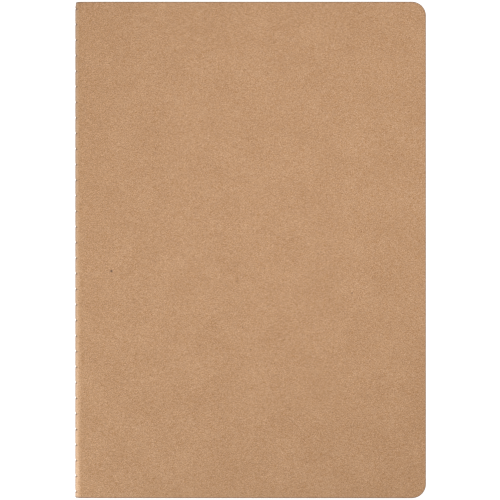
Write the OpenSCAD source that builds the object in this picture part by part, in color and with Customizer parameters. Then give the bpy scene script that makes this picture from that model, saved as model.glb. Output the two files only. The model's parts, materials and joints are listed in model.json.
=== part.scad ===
// Thread-sewn pocket notebook: one signature of folded sheets in a kraft card cover,
// sewn through the fold with a lockstitch.
// +X runs from the spine to the fore-edge, +Y to the head and +Z up through the closed block.
// The origin is the centre of the footprint, on the surface that the back cover lies on.

/* [Size] */
// Width of the closed notebook from spine to fore-edge
book_w = 105; // [80:1:150]
// Height of the notebook from tail to head
book_h = 148; // [110:1:210]
// Radius of the rounded corners at the fore-edge
corner_r = 4.2; // [1:0.1:10]

/* [Cover] */
// Thickness of the kraft card
cover_t = 0.4; // [0.3:0.05:0.6]

/* [Pages] */
// Number of folded sheets in the signature, each two leaves
sheet_count = 16; // [8:1:18]
// Thickness of one leaf
page_t = 0.1; // [0.08:0.01:0.14]
// Air between two neighbouring leaves
page_gap = 0.02; // [0.01:0.01:0.05]

/* [Sewing] */
// Distance between two needle holes
stitch_pitch = 4.65; // [3:0.05:8]
// Shortest distance from the last needle hole to the head or tail
end_margin = 1.5; // [1:0.1:3]
// Thickness of the sewing thread
thread_d = 0.25; // [0.2:0.05:0.3]
// Depth that the outer thread is pulled into the card
thread_bed = 0.1; // [0.05:0.01:0.15]

/* [Hidden] */
$fn = 96;

// Two strands of thread share each needle hole, side by side along the spine.
strand_gap = 0.03;
hole_clearance = 0.1;
strand_offset = (thread_d + strand_gap) / 2;
bend_r = 0.75 * thread_d;
hole_d = 2 * (thread_d + hole_clearance);

hole_count = 1 + floor((book_h - 2 * end_margin) / stitch_pitch);
first_hole_y = -(hole_count - 1) * stitch_pitch / 2;

// Every layer bends round one axis, so a layer is known by its inner radius there.
core_clearance = 0.05;
core_r = thread_d / 2 + core_clearance;
layer_pitch = page_t + page_gap;
cover_inner_r = core_r + sheet_count * layer_pitch;
cover_outer_r = cover_inner_r + cover_t;
// The bend runs on straight for a little, past the thread, before a flat leaf starts.
fold_tab = thread_d + core_clearance;

thread_bulge = thread_d - thread_bed;
fore_x = (book_w + thread_bulge) / 2;
spine_x = fore_x - book_w;
axis_x = spine_x + cover_outer_r;
axis_z = cover_outer_r;

needle_run_x = spine_x + thread_bed - thread_d / 2;
bobbin_run_x = axis_x - core_r + thread_d / 2;
lock_x = (needle_run_x + bobbin_run_x) / 2;
cut = 1;

kraft = "#be9570";
thread_brown = "#a9835d";
ivory = "#f3ecda";

// Sheet 1 is the outermost, next to the cover.
function sheet_inner_r(i) = core_r + (sheet_count - i) * layer_pitch;
function sheet_name(i, piece) = str("sheet_", i < 10 ? "0" : "", i, "_", piece);
function hole_y(i) = first_hole_y + i * stitch_pitch;

sheet_pieces = ["front_leaf", "back_leaf", "fold"];

// A bar with its length along Y, centred on the fold axis.
module along_fold(r, length) {
    translate([axis_x, 0, axis_z])
        rotate([90, 0, 0])
            cylinder(r = r, h = length, center = true);
}

// A box that is centred on the fold's mid-plane and starts at the given distance past the axis.
module past_fold(start, length, height, depth) {
    translate([axis_x + start, -height / 2, axis_z - depth / 2])
        cube([length, height, depth]);
}

// A flat leaf or cover panel with its two fore-edge corners rounded.
// side is 1 for the front half and -1 for the back half.
module flat_panel(inner_r, thickness, side) {
    length = fore_x - axis_x - fold_tab;
    base_z = side > 0 ? axis_z + inner_r : axis_z - inner_r - thickness;
    translate([fore_x - length, -book_h / 2, base_z])
        linear_extrude(thickness)
            union() {
                square([length - corner_r, book_h]);
                translate([0, corner_r])
                    square([length, book_h - 2 * corner_r]);
                for (y = [corner_r, book_h - corner_r])
                    translate([length - corner_r, y])
                        circle(r = corner_r);
            }
}

// The needle holes, through every layer of the fold.
module needle_holes(depth) {
    for (i = [0:hole_count - 1])
        translate([axis_x - depth, hole_y(i), axis_z])
            rotate([0, 90, 0])
                cylinder(d = hole_d, h = depth);
}

// The bent part of one layer: half a tube with a short straight lip above and below.
module bent_layer(inner_r, thickness) {
    outer_r = inner_r + thickness;
    difference() {
        union() {
            along_fold(outer_r, book_h);
            past_fold(0, fold_tab, book_h, 2 * outer_r);
        }
        along_fold(inner_r, book_h + 2 * cut);
        past_fold(0, outer_r, book_h + 2 * cut, 2 * inner_r);
        past_fold(fold_tab, outer_r, book_h + 2 * cut, 2 * outer_r + cut);
        needle_holes(outer_r + cut);
    }
}

module straight_strand(x, y1, y2) {
    translate([x, y1, axis_z])
        rotate([-90, 0, 0])
            cylinder(d = thread_d, h = y2 - y1);
}

module strand_through(x1, x2, y) {
    translate([min(x1, x2), y, axis_z])
        rotate([0, 90, 0])
            cylinder(d = thread_d, h = abs(x2 - x1));
}

module bent_strand(x, y, radius, from_angle, angle) {
    translate([x, y, axis_z])
        rotate([0, 0, from_angle])
            rotate_extrude(angle = angle)
                translate([radius, 0])
                    circle(d = thread_d);
}

// One of the two threads of the lockstitch, in one continuous strand. It runs along the fold at
// run_x and turns into each needle hole, where it meets the other thread at lock_x.
// inward is 1 when the holes lie to its +X side and -1 when they lie to its -X side.
module lockstitch_thread(run_x, inward) {
    turn_x = run_x + inward * bend_r;
    loop_x = lock_x - inward * (strand_offset + thread_d / 2);
    corner_y = strand_offset + bend_r;
    outward_angle = inward > 0 ? 180 : 0;
    for (i = [0:hole_count - 1]) {
        y = hole_y(i);
        next_y = i < hole_count - 1 ? hole_y(i + 1) - corner_y : book_h / 2;
        straight_strand(run_x, y + corner_y, next_y);
        bent_strand(turn_x, y + corner_y, bend_r, inward > 0 ? 180 : 270, 90);
        bent_strand(turn_x, y - corner_y, bend_r, inward > 0 ? 90 : 0, 90);
        for (side = [-1, 1])
            strand_through(turn_x, loop_x, y + side * strand_offset);
        bent_strand(loop_x, y, strand_offset, outward_angle + 90, 180);
    }
    straight_strand(run_x, -book_h / 2, hole_y(0) - corner_y);
}

module front_cover() {
    color(kraft)
        flat_panel(cover_inner_r, cover_t, 1);
}

module back_cover() {
    color(kraft)
        flat_panel(cover_inner_r, cover_t, -1);
}

// The spine of the cover, with the shallow bed that the outer thread is pulled into.
module cover_spine() {
    color(kraft)
        difference() {
            bent_layer(cover_inner_r, cover_t);
            straight_strand(needle_run_x, -book_h / 2 - cut, book_h / 2 + cut);
        }
}

module sheet_leaf(i, side) {
    color(ivory)
        flat_panel(sheet_inner_r(i), page_t, side);
}

module sheet_fold(i) {
    color(ivory)
        bent_layer(sheet_inner_r(i), page_t);
}

module needle_thread() {
    color(thread_brown)
        lockstitch_thread(needle_run_x, 1);
}

module bobbin_thread() {
    color(thread_brown)
        lockstitch_thread(bobbin_run_x, -1);
}

front_cover();
back_cover();
cover_spine();
needle_thread();
bobbin_thread();
for (i = [1:sheet_count]) {
    sheet_leaf(i, 1);
    sheet_leaf(i, -1);
    sheet_fold(i);
}
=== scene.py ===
"""Thread-sewn pocket notebook in a kraft card cover: paper, card and thread built round the CAD frame."""

import json
import math

import bmesh
import bpy
import numpy as np
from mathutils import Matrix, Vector


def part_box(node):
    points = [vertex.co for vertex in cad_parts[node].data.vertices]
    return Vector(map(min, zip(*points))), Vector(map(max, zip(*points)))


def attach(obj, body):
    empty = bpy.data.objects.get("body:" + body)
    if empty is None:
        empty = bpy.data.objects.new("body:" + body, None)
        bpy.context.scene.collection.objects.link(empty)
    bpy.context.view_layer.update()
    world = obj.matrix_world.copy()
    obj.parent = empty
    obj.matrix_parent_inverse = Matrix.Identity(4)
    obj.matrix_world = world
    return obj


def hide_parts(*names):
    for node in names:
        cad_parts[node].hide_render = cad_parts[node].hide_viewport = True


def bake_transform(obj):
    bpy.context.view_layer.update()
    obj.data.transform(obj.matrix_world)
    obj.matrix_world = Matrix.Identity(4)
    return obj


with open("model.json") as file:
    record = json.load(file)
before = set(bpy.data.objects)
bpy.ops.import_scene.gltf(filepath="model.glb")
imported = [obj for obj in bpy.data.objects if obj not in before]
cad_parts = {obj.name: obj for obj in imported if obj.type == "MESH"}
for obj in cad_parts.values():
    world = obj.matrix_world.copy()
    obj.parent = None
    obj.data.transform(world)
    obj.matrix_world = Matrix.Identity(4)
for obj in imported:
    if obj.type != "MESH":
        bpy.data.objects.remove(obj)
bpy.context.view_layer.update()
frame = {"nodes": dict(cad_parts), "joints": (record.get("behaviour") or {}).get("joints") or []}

MM = 0.001

# ---------------------------------------------------------------- the frame's sizes, in metres
SHEET_COUNT = sum(name.endswith("_fold") for name in frame["nodes"])
AXIS_X, _, AXIS_Z = next(j["pos_m"] for j in frame["joints"] if j["name"] == "front_cover_hinge")
PANEL_LOW, PANEL_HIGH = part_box("front_cover")
HEIGHT = PANEL_HIGH.y - PANEL_LOW.y
FORE_X = PANEL_HIGH.x
COVER_OUTER_R = PANEL_HIGH.z - AXIS_Z
COVER_T = PANEL_HIGH.z - PANEL_LOW.z
THREAD_R = (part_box("bobbin_thread")[1].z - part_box("bobbin_thread")[0].z) / 2

# ---------------------------------------------------------------- sizes that the frame doesn't state
CORNER_R = 4.2 * MM
HOLE_PITCH = 4.65 * MM
END_MARGIN = 1.5 * MM
HOLE_COUNT = 1 + int((HEIGHT - 2 * END_MARGIN) / HOLE_PITCH)
HOLE_R = 0.35 * MM

# the spine is pressed a little flatter than a half circle, and the cover falls slightly towards it
SPINE_PRESS = 0.84
SPINE_FALL = 0.2 * MM
FALL_LENGTH = 6 * MM

# the leaves close up towards the mid-plane, from just outside the fold
SETTLE_START = 1 * MM
SETTLE_LENGTH = 30 * MM

# painted shade darkens the trimmed edge of the card, and less so at the fore-edge
RIM_WIDTH = 0.32 * MM
FORE_RIM_SHARE = 0.6
FORE_RIM_ZONE = 2 * MM

# each stitch pinches the card across the spine, by PINCH_DEEPER more at the tail and less at the head,
# and the thread lies in a narrow bed along the fold
PINCH_DEPTH = 0.09 * MM
PINCH_DEEPER = 0.065 * MM
PINCH_WIDTH = 0.24 * MM
PINCH_REACH = 1.9 * MM
PINCH_SHIFT = 0.05 * MM
BED_DEPTH = 0.12 * MM
BED_WIDTH = 0.22 * MM

# painted shadow darkens the card across each pinch, a little to the hole's tail side
SHADOW_SHIFT = 0.17 * MM
SHADOW_WIDTH = 0.2 * MM
SHADOW_END_WIDTH = 0.07 * MM
SHADOW_TAPER = 2.2 * MM
SHADOW_REACH = 2.0 * MM

# past the last hole the spine's head is crushed in
CRUSH_DEPTH = 0.18 * MM
CRUSH_START = 0.2 * MM
CRUSH_LENGTH = 1 * MM

# two rows of a mesh nearer than SAME_ROW are one row, and a row that needn't be kept stands at least
# ROW_CLEARANCE from the kept ones. TINY stands for no length at all
SAME_ROW = 1e-7
ROW_CLEARANCE = 0.015 * MM
TINY = 1e-9

HOLES_Y = (np.arange(HOLE_COUNT) - (HOLE_COUNT - 1) / 2) * HOLE_PITCH


# ---------------------------------------------------------------- helpers for meshes
def smooth(t):
    """Smoothstep of t, held between 0 and 1."""
    t = np.clip(t, 0, 1)
    return t * t * (3 - 2 * t)


def nearest_hole(y):
    """Signed distance along the spine from y to the nearest needle hole."""
    inside = np.clip(np.round((y - HOLES_Y[0]) / HOLE_PITCH), 0, HOLE_COUNT - 1)
    return y - HOLES_Y[0] - inside * HOLE_PITCH


def outline_distance(x, y):
    """Distance from a point of a flat leaf in to its trimmed outline, with the corners rounded."""
    to_fore, to_end = FORE_X - x, HEIGHT / 2 - np.abs(y)
    straight = np.minimum(to_fore, to_end)
    round_one = CORNER_R - np.hypot(CORNER_R - to_fore, CORNER_R - to_end)
    in_corner = (to_fore < CORNER_R) & (to_end < CORNER_R)
    return np.where(in_corner, round_one, straight)


def flat_length(y):
    """How far a leaf reaches from the fold axis at height y, less in its rounded corners."""
    past = np.clip(np.abs(y) - (HEIGHT / 2 - CORNER_R), 0, CORNER_R)
    return FORE_X - AXIS_X - CORNER_R + np.sqrt(CORNER_R**2 - past**2)


def new_piece(name, points, faces, coordinates, smooth_angle, marks):
    """A mesh object that stores its paper coordinates, so that a pattern stays on the paper as it bends.

    marks are further values for each point, by attribute name, for the material to use."""
    mesh = bpy.data.meshes.new(name)
    mesh.from_pydata(points.tolist(), [], faces)
    mesh.attributes.new("paper", "FLOAT_VECTOR", "POINT").data.foreach_set("vector", coordinates.ravel())
    for mark, values in marks.items():
        mesh.attributes.new(mark, "FLOAT", "POINT").data.foreach_set("value", values)
    work = bmesh.new()
    work.from_mesh(mesh)
    bmesh.ops.recalc_face_normals(work, faces=work.faces)
    work.to_mesh(mesh)
    work.free()
    mesh.shade_smooth()
    mesh.set_sharp_from_angle(angle=math.radians(smooth_angle))
    piece = bpy.data.objects.new(name, mesh)
    bpy.context.scene.collection.objects.link(piece)
    return piece


# ---------------------------------------------------------------- paper and card
class Stock:
    """How finely a kind of paper is meshed, and how its trimmed edge is rounded.

    edge_steps and corner_steps are the places of rows and columns, measured in from the trimmed edge.
    hole_steps rows cross each needle hole, with between_steps more on either side of it."""

    def __init__(self, edge_r, edge_steps, corner_steps, hole_steps, between_steps, arc_columns,
                 flat_columns, row_gap):
        self.edge_r = edge_r
        self.edge_steps = edge_steps
        self.corner_steps = corner_steps
        self.hole_steps = hole_steps
        self.between_steps = between_steps
        self.arc_columns = arc_columns
        self.flat_columns = flat_columns
        self.row_gap = row_gap

    def coarse_rows(self):
        """Heights of the rows of a flat leaf: trimmed edge, rounded corner and the plain middle."""
        # the first two of the corner's thirteen rows are left to edge_steps
        corner = CORNER_R * (1 - np.cos(np.linspace(0, math.pi / 2, 13)[2:]))
        from_end = np.unique(np.concatenate([self.edge_steps, corner]))
        ends = np.concatenate([from_end - HEIGHT / 2, HEIGHT / 2 - from_end])
        reach = HEIGHT / 2 - CORNER_R
        middle = np.linspace(-reach, reach, 2 + int(2 * reach / self.row_gap))
        return merged(np.concatenate([ends, middle]))

    def fine_rows(self):
        """The same rows with those that draw the needle holes, for the bent part."""
        across_hole = HOLE_R * np.sin(np.linspace(-1, 1, self.hole_steps) * math.pi / 2)
        round_one = np.concatenate([across_hole, self.between_steps, -self.between_steps])
        round_holes = (HOLES_Y[:, None] + round_one).ravel()
        inside = round_holes[np.abs(round_holes) < HEIGHT / 2]
        return merged(np.concatenate([inside, self.coarse_rows()]), self.coarse_rows())


def merged(rows, keep=()):
    """Sorted rows, each once, without those that fall too close to one that has to be kept."""
    rows = np.sort(rows)
    rows = rows[np.concatenate([[True], np.diff(rows) > SAME_ROW])]
    for kept in keep:
        away = np.abs(rows - kept)
        rows = rows[(away >= ROW_CLEARANCE) | (away <= TINY)]
    return rows


CARD = Stock(edge_r=0.07 * MM,
             edge_steps=np.array([0, 0.02, 0.07, 0.18, 0.32]) * MM,
             corner_steps=np.array([0.5, 0.75, 1.1, 1.6, 2.2, 3, 4.2]) * MM,
             hole_steps=11,
             between_steps=np.array([0.45, 0.6, 0.8, 1.1, 1.6, 2.25]) * MM,
             arc_columns=16,
             flat_columns=22,
             row_gap=5 * MM)
PAGE = Stock(edge_r=0,
             edge_steps=np.array([0]),
             corner_steps=np.array([]),
             hole_steps=5,
             between_steps=np.array([2.25]) * MM,
             arc_columns=8,
             flat_columns=14,
             row_gap=8 * MM)

# columns crowd towards the stitch line and the fold by these powers, and the evenly shared ones end
# at this share of a leaf's reach, where those set by corner_steps and edge_steps take over
ARC_CROWDING = 1.4
FLAT_CROWDING = 1.7
LAST_SHARE = 0.94

# a needle hole takes up no more than this share of a tight bend
HOLE_SHARE = 0.9


def hole_start(y, arc_length):
    """Where a layer starts at height y, measured from the stitch line: past the needle hole."""
    half_chord = np.sqrt(np.clip(HOLE_R**2 - nearest_hole(y)**2, 0, None))
    return np.minimum(half_chord, HOLE_SHARE * arc_length)


def half_layer(name, stock, inner_r, thickness, side, relief=None, settle=0.0):
    """Half of a folded layer as a closed solid, from the stitch line round the bend to the fore-edge.

    side is 1 above the mid-plane and -1 below it. relief(s, y) presses the outer face in, where s runs
    along the layer from the stitch line, and a layer with a relief gets the marks for its material as
    well. settle is how far the leaf moves towards the mid-plane."""
    middle_r = inner_r + thickness / 2
    arc_length = middle_r * math.pi / 2
    fine, coarse = stock.fine_rows(), stock.coarse_rows()
    arc_columns = 3 + round(stock.arc_columns * middle_r / COVER_OUTER_R)
    spread = np.linspace(0, 1, arc_columns + 1)**ARC_CROWDING
    start = hole_start(fine, arc_length)
    arc_s = start[:, None] + (arc_length - start)[:, None] * spread
    arc_y = np.repeat(fine[:, None], arc_s.shape[1], 1)

    share = np.linspace(0, 1, stock.flat_columns + 1)[1:]**FLAT_CROWDING
    reach = flat_length(coarse)
    insets = np.concatenate([stock.edge_steps, stock.corner_steps])[::-1]
    flat_u = np.concatenate([reach[:, None] * share[share < LAST_SHARE], reach[:, None] - insets], 1)
    flat_y = np.repeat(coarse[:, None], flat_u.shape[1], 1)

    s = np.concatenate([arc_s.ravel(), arc_length + flat_u.ravel()])
    y = np.concatenate([arc_y.ravel(), flat_y.ravel()])
    u = np.maximum(s - arc_length, 0)
    angle = np.minimum(s, arc_length) / middle_r
    trim = outline_distance(AXIS_X + u, y)
    rounding = np.clip(1 - trim / max(stock.edge_r, TINY), 0, 1)
    half = thickness / 2 - stock.edge_r * (1 - np.sqrt(1 - rounding**2))
    pressed = relief(s, y) if relief else np.zeros_like(s)
    sunk = settle * smooth((u - SETTLE_START) / SETTLE_LENGTH)

    def face(offset):
        r = middle_r + offset
        fall = SPINE_FALL * middle_r / COVER_OUTER_R * (1 - smooth(u / FALL_LENGTH))
        across = AXIS_X - SPINE_PRESS * r * np.cos(angle) + u
        up = (r - fall) * np.sin(angle) - sunk
        return np.stack([across, y, AXIS_Z + side * up], 1)

    points = np.concatenate([face(half - pressed), face(-half)])
    depth = np.concatenate([half, -half])
    coordinates = np.stack([np.tile(side * s, 2), np.tile(y, 2), depth], 1)
    marks = {}
    if relief:
        # painted shade along the trimmed rim, less at the fore-edge, and the painted shadow of the needle
        # holes
        off_fore = smooth((FORE_X - AXIS_X - u) / FORE_RIM_ZONE - 1)
        rim = np.clip(1 - trim / RIM_WIDTH, 0, 1) * (FORE_RIM_SHARE + (1 - FORE_RIM_SHARE) * off_fore)
        marks = {"rim": np.tile(rim, 2), "painted_shadow": np.tile(hole_shadow(s, y), 2)}

    # the points are numbered outer face first. The bent part has more rows than the flat one, so the
    # faces that join them have an edge along several rows
    arc = np.arange(arc_s.size).reshape(arc_s.shape)
    flat = arc_s.size + np.arange(flat_u.size).reshape(flat_u.shape)
    shared = np.searchsorted(fine, coarse - TINY)
    faces = []
    lift = len(s)
    for start_at in (0, lift):
        a, f = arc + start_at, flat + start_at
        faces += np.stack([a[:-1, :-1], a[1:, :-1], a[1:, 1:], a[:-1, 1:]], -1).reshape(-1, 4).tolist()
        faces += np.stack([f[:-1, :-1], f[1:, :-1], f[1:, 1:], f[:-1, 1:]], -1).reshape(-1, 4).tolist()
        for i, (low, high) in enumerate(zip(shared, shared[1:])):
            faces.append([*a[low:high + 1, -1].tolist(), int(f[i + 1, 0]), int(f[i, 0])])
    head_and_tail = [np.concatenate([arc[i], flat[i]]) for i in (0, -1)]
    for line in [arc[:, 0], flat[:, -1], *head_and_tail]:
        faces += np.stack([line[:-1], line[1:], line[1:] + lift, line[:-1] + lift], -1).tolist()
    return new_piece(name, points, faces, coordinates, smooth_angle=50, marks=marks)


def bend_at_hinge(piece):
    """Bakes the piece's placement into its mesh."""
    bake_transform(piece)


def hole_shadow(s, y):
    """How much painted shadow darkens the card across each needle hole, in a mark that narrows to its two
    ends.
    """
    along = nearest_hole(y) + SHADOW_SHIFT
    width = SHADOW_END_WIDTH + SHADOW_WIDTH * np.clip(1 - (s / SHADOW_TAPER)**2, 0, 1)
    return np.exp(-(along / width)**2 - (s / SHADOW_REACH)**8)


def sewn_relief(s, y):
    """How far the card is pressed in by the stitches' pinch, the thread's bed and the crushed head."""
    depth = PINCH_DEPTH - PINCH_DEEPER * y / (HEIGHT / 2)
    pinch = depth * np.exp(-((nearest_hole(y) + PINCH_SHIFT) / PINCH_WIDTH)**2 - (s / PINCH_REACH)**6)
    bed = BED_DEPTH * np.exp(-(s / BED_WIDTH)**2)
    past_last_hole = smooth((y - HOLES_Y[-1] - CRUSH_START) / CRUSH_LENGTH)
    crushed = CRUSH_DEPTH * past_last_hole * np.exp(-(s / PINCH_REACH)**4)
    return pinch + bed + crushed


# ---------------------------------------------------------------- thread
# both threads are cut this far inside the head and the tail
THREAD_INSET = 0.05 * MM


def through_points(points, spacing):
    """A Catmull-Rom curve through the points, resampled to an even spacing, and the distance along it."""
    p = np.concatenate([[2 * points[0] - points[1]], points, [2 * points[-1] - points[-2]]])
    t = np.linspace(0, 1, 12, endpoint=False)[:, None]
    pieces = []
    for a, b, c, d in zip(p, p[1:], p[2:], p[3:]):
        pieces.append(0.5 * (2 * b + (c - a) * t + (2 * a - 5 * b + 4 * c - d) * t**2
                             + (3 * b - a - 3 * c + d) * t**3))
    line = np.concatenate([*pieces, points[-1:]])
    travelled = np.concatenate([[0], np.cumsum(np.linalg.norm(np.diff(line, axis=0), axis=1))])
    even = np.linspace(0, travelled[-1], int(travelled[-1] / spacing) + 1)
    return np.stack([np.interp(even, travelled, line[:, k]) for k in range(3)], 1), even


def twisted_strand(name, route, radius):
    """A plied thread along the route. Its section is that of its plies together, and turns as it goes."""
    plies, sides = 3, 18
    turn, rings_per_turn = 0.85 * MM, 10
    centre, travelled = through_points(route, turn / rings_per_turn)
    along = np.gradient(centre, axis=0)
    along /= np.linalg.norm(along, axis=1)[:, None]
    # the whole route lies in one plane of constant z, so z is a steady side to measure the twist from
    up = np.tile([0.0, 0.0, 1.0], (len(along), 1))
    across = np.cross(up, along)
    around = np.linspace(0, 2 * math.pi, sides, endpoint=False)
    spacing = 2 * math.pi / plies
    from_ply = (around + spacing / 2) % spacing - spacing / 2
    off_centre = 0.53 * radius
    ply_r = radius - off_centre
    half_chord = np.sqrt(np.clip(ply_r**2 - (off_centre * np.sin(from_ply))**2, 0, None))
    section = off_centre * np.cos(from_ply) + half_chord
    phase = around[None, :] + (travelled / turn * 2 * math.pi)[:, None]
    outward = np.cos(phase)[..., None] * across[:, None] + np.sin(phase)[..., None] * up[:, None]
    points = centre[:, None] + section[None, :, None] * outward
    rings = len(centre)
    index = np.arange(rings * sides).reshape(rings, sides)
    after = np.roll(index, -1, 1)
    faces = np.stack([index[:-1], after[:-1], after[1:], index[1:]], -1).reshape(-1, 4).tolist()
    faces += [index[0, ::-1].tolist(), index[-1].tolist()]
    along_it, round_it = np.repeat(travelled, sides), np.tile(around * radius, rings)
    coordinates = np.stack([along_it, round_it, np.zeros(rings * sides)], 1)
    return new_piece(name, points.reshape(-1, 3), faces, coordinates, smooth_angle=60, marks={})


def stitch_route(surface_r, rise, hole_depth, head_depth, inward):
    """One thread of the lockstitch: along the fold at surface_r from the axis, and into every hole.

    head_depth is how far it lies in at the crushed head. inward is 1 for the outer thread, whose holes
    lead towards the axis, and -1 for the inner one."""
    # each run lists distances along the spine from the hole and heights above the surface. It goes down
    # steeply on the hole's tail side and comes up gently on its head side
    beside = 0.13 * MM
    turning_depth = hole_depth + 0.12 * MM
    between = [(0.5 * HOLE_PITCH, rise), (0.3 * HOLE_PITCH, rise)]
    down = [(0.19 * MM, -0.2 * MM), (beside, -0.45 * MM), (beside, -hole_depth)]
    gentle = [*between, (0.45 * MM, 0), (0.3 * MM, -0.08 * MM), *down]
    steep = [*between, (0.35 * MM, 0.5 * rise), (0.24 * MM, -0.05 * MM), *down]
    points = [(-HEIGHT / 2 + THREAD_INSET, 0), (-HEIGHT / 2 + 0.6 * MM, 0.5 * rise)]
    for hole in HOLES_Y:
        # neighbours share the point halfway, and the first hole has no room for the next one either
        skipped = 2 if hole == HOLES_Y[0] else 1
        before = [(hole - y, level) for y, level in steep[skipped:]]
        after = [(hole + y, level) for y, level in gentle[::-1]]
        points += [*before, (hole, -turning_depth), *after]
    # past the last hole the thread only runs on to the head
    points = [p for p in points if p[0] < HOLES_Y[-1] + 1 * MM]
    points += [(HEIGHT / 2 - 0.7 * MM, -head_depth), (HEIGHT / 2 - THREAD_INSET, -head_depth)]
    y, level = np.array(points).T
    x = AXIS_X - SPINE_PRESS * surface_r - inward * level
    return np.stack([x, y, np.full_like(x, AXIS_Z)], 1)


# ---------------------------------------------------------------- materials
class Nodes:
    """A node material built up by short calls. Colours are linear."""

    def __init__(self, name):
        self.material = bpy.data.materials.new(name)
        self.material.use_nodes = True
        self.tree = self.material.node_tree
        self.shader = self.tree.nodes["Principled BSDF"]

    def add(self, kind, inputs=None, **settings):
        node = self.tree.nodes.new(kind)
        for key, value in settings.items():
            setattr(node, key, value)
        for key, value in (inputs or {}).items():
            self.put(node.inputs[key], value)
        return node

    def put(self, socket, value):
        """Link another node's output to the socket, or set a constant on it."""
        if isinstance(value, bpy.types.NodeSocket):
            self.tree.links.new(value, socket)
        else:
            socket.default_value = value

    def set(self, **values):
        for key, value in values.items():
            self.put(self.shader.inputs[key.replace("_", " ")], value)

    def paper(self):
        """Position on the unfolded sheet, in metres: across from the stitches, up the spine, in depth."""
        return self.add("ShaderNodeAttribute", attribute_name="paper").outputs["Vector"]

    def mark(self, name):
        """A value stored for each point of the mesh, from 0 to 1."""
        return self.add("ShaderNodeAttribute", attribute_name=name).outputs["Fac"]

    def scaled(self, vector, x, y, z, turn=0.0, shift=0.0):
        """The vector scaled, turned about z and shifted to another part of a pattern."""
        inputs = {"Vector": vector, "Scale": (x, y, z), "Rotation": (0, 0, turn), "Location": (shift,) * 3}
        return self.add("ShaderNodeMapping", inputs).outputs["Vector"]

    def noise(self, vector, scale, detail=2.0, rough=0.5):
        inputs = {"Vector": vector, "Scale": scale, "Detail": detail, "Roughness": rough}
        return self.add("ShaderNodeTexNoise", inputs).outputs["Fac"]

    def band(self, value, low, high, to_low=0.0, to_high=1.0):
        """The value's run from low to high spread over to_low to to_high, and held at either end."""
        inputs = {"Value": value, "From Min": low, "From Max": high, "To Min": to_low, "To Max": to_high}
        return self.add("ShaderNodeMapRange", inputs).outputs["Result"]

    def math(self, how, a, b=0.0):
        return self.add("ShaderNodeMath", {0: a, 1: b}, operation=how).outputs[0]

    def mix(self, share, a, b, how="MIX"):
        """Colour a with its share of b laid over it, or combined in another way."""
        node = self.add("ShaderNodeMix", data_type="RGBA", blend_type=how)
        for socket, value in ((node.inputs["Factor"], share), (node.inputs[6], a), (node.inputs[7], b)):
            self.put(socket, value)
        return node.outputs[2]

    def tone(self, colour, pattern, low, high, swing):
        """Darker where the pattern is low and paler where it is high, most so in blue and least in red."""
        change = np.array([1, 1.35, 1.95]) * swing
        factor = self.mix(self.band(pattern, low, high), (*(1 - change), 1), (*(1 + change), 1))
        return self.mix(1.0, colour, factor, "MULTIPLY")

    def bump(self, height, distance, strength=1.0, under=None):
        inputs = {"Height": height, "Distance": distance, "Strength": strength}
        if under is not None:
            inputs["Normal"] = under
        return self.add("ShaderNodeBump", inputs).outputs["Normal"]


def grey(level):
    return (level, level, level, 1)


def fibres(nodes, place, length, width, turn, shift, sharp):
    """Short fibres that lie about one direction, from 0 between them to 1 where they are strongest."""
    drift_scale = 1 / (6 * MM)
    drift = nodes.noise(nodes.scaled(place, drift_scale, drift_scale, drift_scale, 0, shift), 1, 1)
    wander = nodes.math("MULTIPLY", drift, 1.2 * MM)
    moved = nodes.add("ShaderNodeVectorMath", {0: place, 1: wander}, operation="ADD").outputs[0]
    long_way = nodes.scaled(moved, 1 / length, 1 / width, 1 / width, turn, shift)
    return nodes.band(nodes.noise(long_way, 1, 1.5), 0.5, sharp)


# colours of the card, linear. The speckle multiplies what lies under it
PULP_DARK, PULP_LIGHT = (0.247, 0.083, 0.010, 1), (0.800, 0.478, 0.258, 1)
SPECKLE_DARK, SPECKLE_LIGHT = (0.64, 0.44, 0.0, 1), (1.36, 1.56, 2.00, 1)
FIBRE_PALE, FIBRE_CROSS, FIBRE_DARK = (0.74, 0.46, 0.26, 1), (0.72, 0.44, 0.24, 1), (0.28, 0.13, 0.05, 1)
FLECK_DARK, FLECK_PALE = (0.22, 0.10, 0.035, 1), (0.72, 0.50, 0.32, 1)
TINT = (0.49, 0.30, 0.15, 1)
# painted highlight on the fold's shoulders
SHOULDER_HIGHLIGHT = (0.86, 0.62, 0.42, 1)
# painted shade of the trimmed rim
RIM_SHADE = (0.18, 0.092, 0.05, 1)
# painted shadow at the needle holes
HOLE_SHADOW_COLOUR = (0.075, 0.034, 0.012, 1)
BARK = (0.16, 0.08, 0.04, 1)

# place of the one large fleck on the cover: across from the stitches, up the spine, on the outer face
LARGE_FLECK_MM = (12.35, -6.3, 0.2)


def specks(nodes, mm):
    """Sparse dark flecks of bark, from 0 to 1: a small one in about one cell in twelve, and one larger."""
    cells = nodes.add("ShaderNodeTexVoronoi", {"Vector": mm, "Scale": 0.13})
    chance = nodes.add("ShaderNodeSeparateColor", {"Color": cells.outputs["Color"]}).outputs["Red"]
    chosen = nodes.math("GREATER_THAN", chance, 0.92)
    rough = nodes.band(nodes.noise(mm, 5, 2), 0.3, 0.7, -0.01, 0.01)
    ragged = nodes.math("ADD", cells.outputs["Distance"], rough)
    small = nodes.math("MULTIPLY", chosen, nodes.band(ragged, 0.034, 0.018))
    away = nodes.add("ShaderNodeVectorMath", {0: mm, 1: LARGE_FLECK_MM}, operation="DISTANCE")
    rough = nodes.band(nodes.noise(mm, 4, 2), 0.3, 0.7, -0.15, 0.15)
    large = nodes.band(nodes.math("ADD", away.outputs["Value"], rough), 0.42, 0.2)
    return nodes.math("MAXIMUM", small, large)


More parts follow.
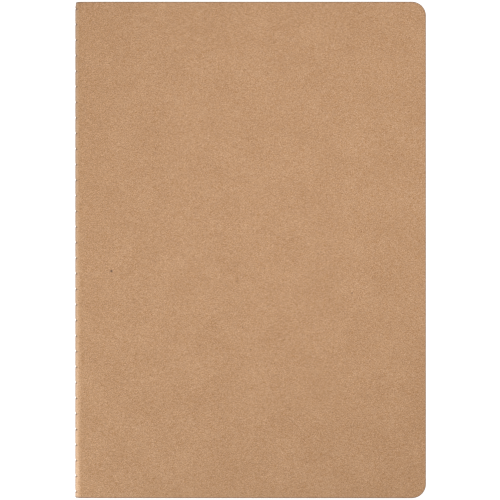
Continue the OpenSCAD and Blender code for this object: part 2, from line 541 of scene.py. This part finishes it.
def card_pulp(nodes, mm, laid, grain, fibre_layers):
    """The colour of the bare card: ground pulp, fibres both ways, dark and pale flecks and a faint tint."""
    colour = nodes.mix(nodes.band(grain, 0.35, 0.65), PULP_DARK, PULP_LIGHT)
    finer = nodes.band(nodes.noise(laid, 8, 2, 0.6), 0.36, 0.64)
    speckle = nodes.mix(finer, SPECKLE_DARK, SPECKLE_LIGHT)
    colour = nodes.mix(1.0, colour, speckle, "MULTIPLY")
    flecks = nodes.band(nodes.noise(mm, 2.3, 1, 0.5), 0.70, 0.78)
    pale = nodes.band(nodes.noise(nodes.scaled(mm, 1, 1, 1, 0, 23.0), 2.6, 1, 0.5), 0.70, 0.78)
    layers = [*fibre_layers, (flecks, 0.75, FLECK_DARK), (pale, 0.4, FLECK_PALE)]
    for pattern, strength, layer_colour in layers:
        colour = nodes.mix(nodes.math("MULTIPLY", pattern, strength), colour, layer_colour)
    tinted = nodes.noise(nodes.scaled(mm, 1, 1, 1, 0, 57.0), 0.5, 2, 0.5)
    return nodes.mix(nodes.band(tinted, 0.25, 0.75, 0, 0.12), colour, TINT)


def painted_shoulder_highlight(nodes, mm, from_stitches, colour):
    """A painted highlight makes the two shoulders of the fold a little paler, in patches."""
    inner_side, outer_side = nodes.band(from_stitches, 0.9, 1.6), nodes.band(from_stitches, 2.7, 1.9)
    shoulder = nodes.math("MINIMUM", inner_side, outer_side)
    drawn_out = nodes.noise(nodes.scaled(mm, 1, 0.35, 1, 0, 9.0), 1.1, 2, 0.5)
    shoulder_light = nodes.math("MULTIPLY", nodes.band(drawn_out, 0.3, 0.7, 0.5, 1.0), 0.22)
    return nodes.mix(nodes.math("MULTIPLY", shoulder, shoulder_light), colour, SHOULDER_HIGHLIGHT)


def painted_rim_shade(nodes, depth, colour):
    """Painted shade on the trimmed rim of the faces, and less of it on the cut through the card's
    thickness.
    """
    on_face = nodes.band(depth, 0.09, 0.15, 0.35, 1.4)
    return nodes.mix(nodes.math("MULTIPLY", nodes.mark("rim"), on_face), colour, RIM_SHADE)


def kraft_card():
    """Brown kraft card: pulp, fibres and flecks; painted highlight at the fold, painted shade at the trim
    and holes.
    """
    nodes = Nodes("kraft_card")
    place = nodes.paper()
    mm = nodes.scaled(place, 1 / MM, 1 / MM, 1 / MM)
    apart = nodes.add("ShaderNodeSeparateXYZ", {"Vector": mm})
    from_stitches = nodes.math("ABSOLUTE", apart.outputs["X"])
    depth = nodes.math("ABSOLUTE", apart.outputs["Z"])

    # the pulp lies a little drawn out along the spine
    laid = nodes.scaled(mm, 1.2, 0.95, 1)
    grain = nodes.noise(laid, 4.8, 3, 0.65)
    mottle = nodes.noise(mm, 0.6, 3, 0.6)
    clouds = nodes.noise(mm, 0.1, 2, 0.5)
    light_fibre = fibres(nodes, place, 1.6 * MM, 0.13 * MM, 0.35, 3.1, 0.74)
    cross_fibre = fibres(nodes, place, 1.3 * MM, 0.12 * MM, 2.2, 17.3, 0.76)
    dark_fibre = fibres(nodes, place, 1.1 * MM, 0.12 * MM, 1.3, 41.7, 0.78)
    colour = card_pulp(nodes, mm, laid, grain, [
        (light_fibre, 0.38, FIBRE_PALE),
        (cross_fibre, 0.34, FIBRE_CROSS),
        (dark_fibre, 0.40, FIBRE_DARK),
    ])
    colour = nodes.tone(colour, mottle, 0.2, 0.8, 0.035)
    colour = nodes.tone(colour, clouds, 0.2, 0.8, 0.05)
    # painted highlight on the fold's shoulders
    colour = painted_shoulder_highlight(nodes, mm, from_stitches, colour)
    # painted shade along the trimmed rim
    colour = painted_rim_shade(nodes, depth, colour)
    # painted shadow across each needle hole, in patches
    patchy = nodes.band(nodes.noise(mm, 2.8, 2, 0.6), 0.3, 0.55, 0.6, 1.1)
    shadowed = nodes.math("MULTIPLY", nodes.mark("painted_shadow"), patchy)
    colour = nodes.mix(shadowed, colour, HOLE_SHADOW_COLOUR)
    colour = nodes.mix(specks(nodes, mm), colour, BARK)

    height = nodes.math("ADD", nodes.math("MULTIPLY", grain, 0.5), nodes.math("MULTIPLY", light_fibre, 0.5))
    height = nodes.math("ADD", height, nodes.math("MULTIPLY", cross_fibre, 0.5))
    fine = nodes.bump(nodes.noise(mm, 14, 2, 0.6), 0.006 * MM)
    # the card has a slight sheen where it is smooth, and none under the painted shadow at the holes
    sheen = nodes.band(mottle, 0.3, 0.7, 0.62, 0.76)
    roughness = nodes.math("ADD", sheen, nodes.math("MULTIPLY", shadowed, 0.3))
    nodes.set(Base_Color=colour, Roughness=roughness, Normal=nodes.bump(height, 0.02 * MM, 0.7, fine))
    nodes.set(Specular_IOR_Level=0.5)
    return nodes.material


def page_paper():
    """Ivory uncoated paper, cloudy when seen close, with a few darker fibres."""
    nodes = Nodes("page_paper")
    place = nodes.paper()
    mm = nodes.scaled(place, 1 / MM, 1 / MM, 1 / MM)
    formation = nodes.noise(mm, 0.35, 4, 0.6)
    grain = nodes.noise(mm, 5, 3, 0.6)
    fibre = fibres(nodes, place, 1.2 * MM, 0.09 * MM, 0.5, 5.3, 0.8)
    colour = nodes.mix(nodes.band(formation, 0.3, 0.7), (0.80, 0.74, 0.60, 1), (0.86, 0.80, 0.67, 1))
    colour = nodes.mix(nodes.band(grain, 0.3, 0.7, 0, 0.25), colour, (0.74, 0.67, 0.53, 1))
    colour = nodes.mix(nodes.math("MULTIPLY", fibre, 0.2), colour, (0.70, 0.62, 0.46, 1))
    fine = nodes.bump(nodes.noise(mm, 16, 2, 0.6), 0.003 * MM)
    nodes.set(Base_Color=colour, Roughness=nodes.band(formation, 0.3, 0.7, 0.82, 0.93),
              Normal=nodes.bump(grain, 0.008 * MM, 0.6, fine))
    nodes.set(Specular_IOR_Level=0.3)
    return nodes.material


def sewing_thread():
    """Thread of the card's own brown, with filaments that run along it."""
    nodes = Nodes("sewing_thread")
    place = nodes.paper()
    strands = nodes.noise(nodes.scaled(place, 1 / (0.9 * MM), 1 / (0.05 * MM), 1, 0.5), 1, 3, 0.6)
    patches = nodes.noise(nodes.scaled(place, 1 / (4 * MM), 1 / (1 * MM), 1), 1, 2)
    colour = nodes.mix(nodes.band(strands, 0.3, 0.7), (0.32, 0.18, 0.085, 1), (0.57, 0.345, 0.18, 1))
    colour = nodes.mix(nodes.band(patches, 0.3, 0.7, 0, 0.3), colour, (0.34, 0.2, 0.11, 1))
    nodes.set(Base_Color=colour, Roughness=nodes.band(strands, 0.3, 0.7, 0.55, 0.8),
              Normal=nodes.bump(strands, 0.01 * MM, 0.8))
    nodes.set(Specular_IOR_Level=0.4)
    return nodes.material


def studio_floor():
    """Pure white ground: it glows, so that it shows no shadow."""
    nodes = Nodes("studio_floor")
    nodes.set(Base_Color=grey(0.35), Roughness=0.9, Emission_Color=grey(1.0), Emission_Strength=1.0)
    nodes.set(Specular_IOR_Level=0.0)
    return nodes.material


# ---------------------------------------------------------------- the notebook
def dress(piece, material, slot, *nodes):
    piece.data.materials.append(material)
    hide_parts(*nodes)
    return piece


def radii(node):
    """Inner radius about the fold axis, and thickness, of the flat leaf or panel that is the CAD node."""
    low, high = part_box(node)
    return min(abs(low.z - AXIS_Z), abs(high.z - AXIS_Z)), high.z - low.z


def make_cover(material):
    """The cover, as two halves that meet at the stitches. The front one replaces the CAD's spine too."""
    halves = [(1, "front_cover", ["front_cover", "cover_spine"]), (-1, "back_cover", ["back_cover"])]
    for side, body, nodes in halves:
        inner_r, thickness = radii(body)
        piece = half_layer(f"kraft_{body}", CARD, inner_r, thickness, side, sewn_relief)
        dress(piece, material, "kraft_card", *nodes)
        bend_at_hinge(piece)


def make_sheets(material):
    """The sheets, evenly spread over the room inside the cover away from the fold."""
    even_gap = (COVER_OUTER_R - COVER_T) / SHEET_COUNT
    for number in range(1, SHEET_COUNT + 1):
        for side, half in ((1, "front"), (-1, "back")):
            node = f"sheet_{number:02d}_{half}_leaf"
            inner_r, thickness = radii(node)
            middle_r = inner_r + thickness / 2
            even_r = (SHEET_COUNT - number + 0.5) * even_gap
            name = f"page_{number:02d}_{half}"
            piece = half_layer(name, PAGE, inner_r, thickness, side, settle=middle_r - even_r)
            # as with the cover, the front half replaces the CAD's fold too
            fold = [f"sheet_{number:02d}_fold"] if side > 0 else []
            dress(piece, material, "page_paper", node, *fold)
            bend_at_hinge(piece)


def make_threads(material):
    """The outer thread lies in the bed along the spine, and the inner one along the centre fold."""
    outer_r, inner_r = COVER_OUTER_R - 0.04 * MM, 0.4 * THREAD_R
    outer = stitch_route(outer_r, rise=0.02 * MM, hole_depth=0.9 * MM, head_depth=0.13 * MM, inward=1)
    inner = stitch_route(inner_r, rise=0.0, hole_depth=0.8 * MM, head_depth=0.0, inward=-1)
    threads = [("outer_stitches", outer, "needle_thread"), ("inner_stitches", inner, "bobbin_thread")]
    for name, route, node in threads:
        piece = dress(twisted_strand(name, route, THREAD_R), material, "sewing_thread", node)
        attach(piece, "spine")


# ---------------------------------------------------------------- the studio
def make_floor():
    """The ground, a hair below the back cover so that the two faces don't coincide."""
    half_size, z = 3.0, -0.05 * MM
    corners = [(-half_size, -half_size, z), (half_size, -half_size, z), (half_size, half_size, z),
               (-half_size, half_size, z)]
    mesh = bpy.data.meshes.new("floor")
    mesh.from_pydata(corners, [], [(0, 1, 2, 3)])
    floor = bpy.data.objects.new("floor", mesh)
    bpy.context.scene.collection.objects.link(floor)
    mesh.materials.append(studio_floor())


def area_light(name, place, aim, size, power, colour=(1, 1, 1)):
    light = bpy.data.lights.new(name, "AREA")
    light.shape = "DISK"
    light.size = size
    light.energy = power
    light.color = colour
    lamp = bpy.data.objects.new(name, light)
    lamp.location = place
    direction = np.array(aim) - np.array(place)
    lamp.rotation_mode = "QUATERNION"
    lamp.rotation_quaternion = Vector(direction).to_track_quat("-Z", "Y")
    lamp.visible_camera = False
    bpy.context.scene.collection.objects.link(lamp)


def make_studio():
    """A soft key from above and a small cool fill, low beyond the tail corner of the spine."""
    make_floor()
    area_light("key", place=(0.024, 0.035, 0.315), aim=(0.024, 0.035, 0), size=0.16, power=0.742)
    area_light("left_fill", place=(-0.185, -0.145, 0.042), aim=(-0.05, -0.06, 0), size=0.08, power=0.27,
               colour=(0.85, 0.98, 1.12))
    world = bpy.data.worlds.new("studio")
    world.use_nodes = True
    world.node_tree.nodes["Background"].inputs["Color"].default_value = grey(1)
    world.node_tree.nodes["Background"].inputs["Strength"].default_value = 0.20
    bpy.context.scene.world = world
    bpy.context.scene.view_settings.view_transform = "Standard"


def make_camera():
    """Straight above the front cover, which nearly fills the frame from head to tail."""
    distance = 0.72
    seen_width = 149.02 * MM
    camera = bpy.data.cameras.new("camera")
    camera.sensor_width = 36
    camera.lens = camera.sensor_width * distance / seen_width
    eye = bpy.data.objects.new("camera", camera)
    eye.location = (0.13 * MM, -0.02 * MM, AXIS_Z + COVER_OUTER_R + distance)
    camera.clip_start = 0.01
    camera.clip_end = 10
    bpy.context.scene.collection.objects.link(eye)
    bpy.context.scene.camera = eye


make_camera()
make_studio()
make_cover(kraft_card())
make_sheets(page_paper())
make_threads(sewing_thread())
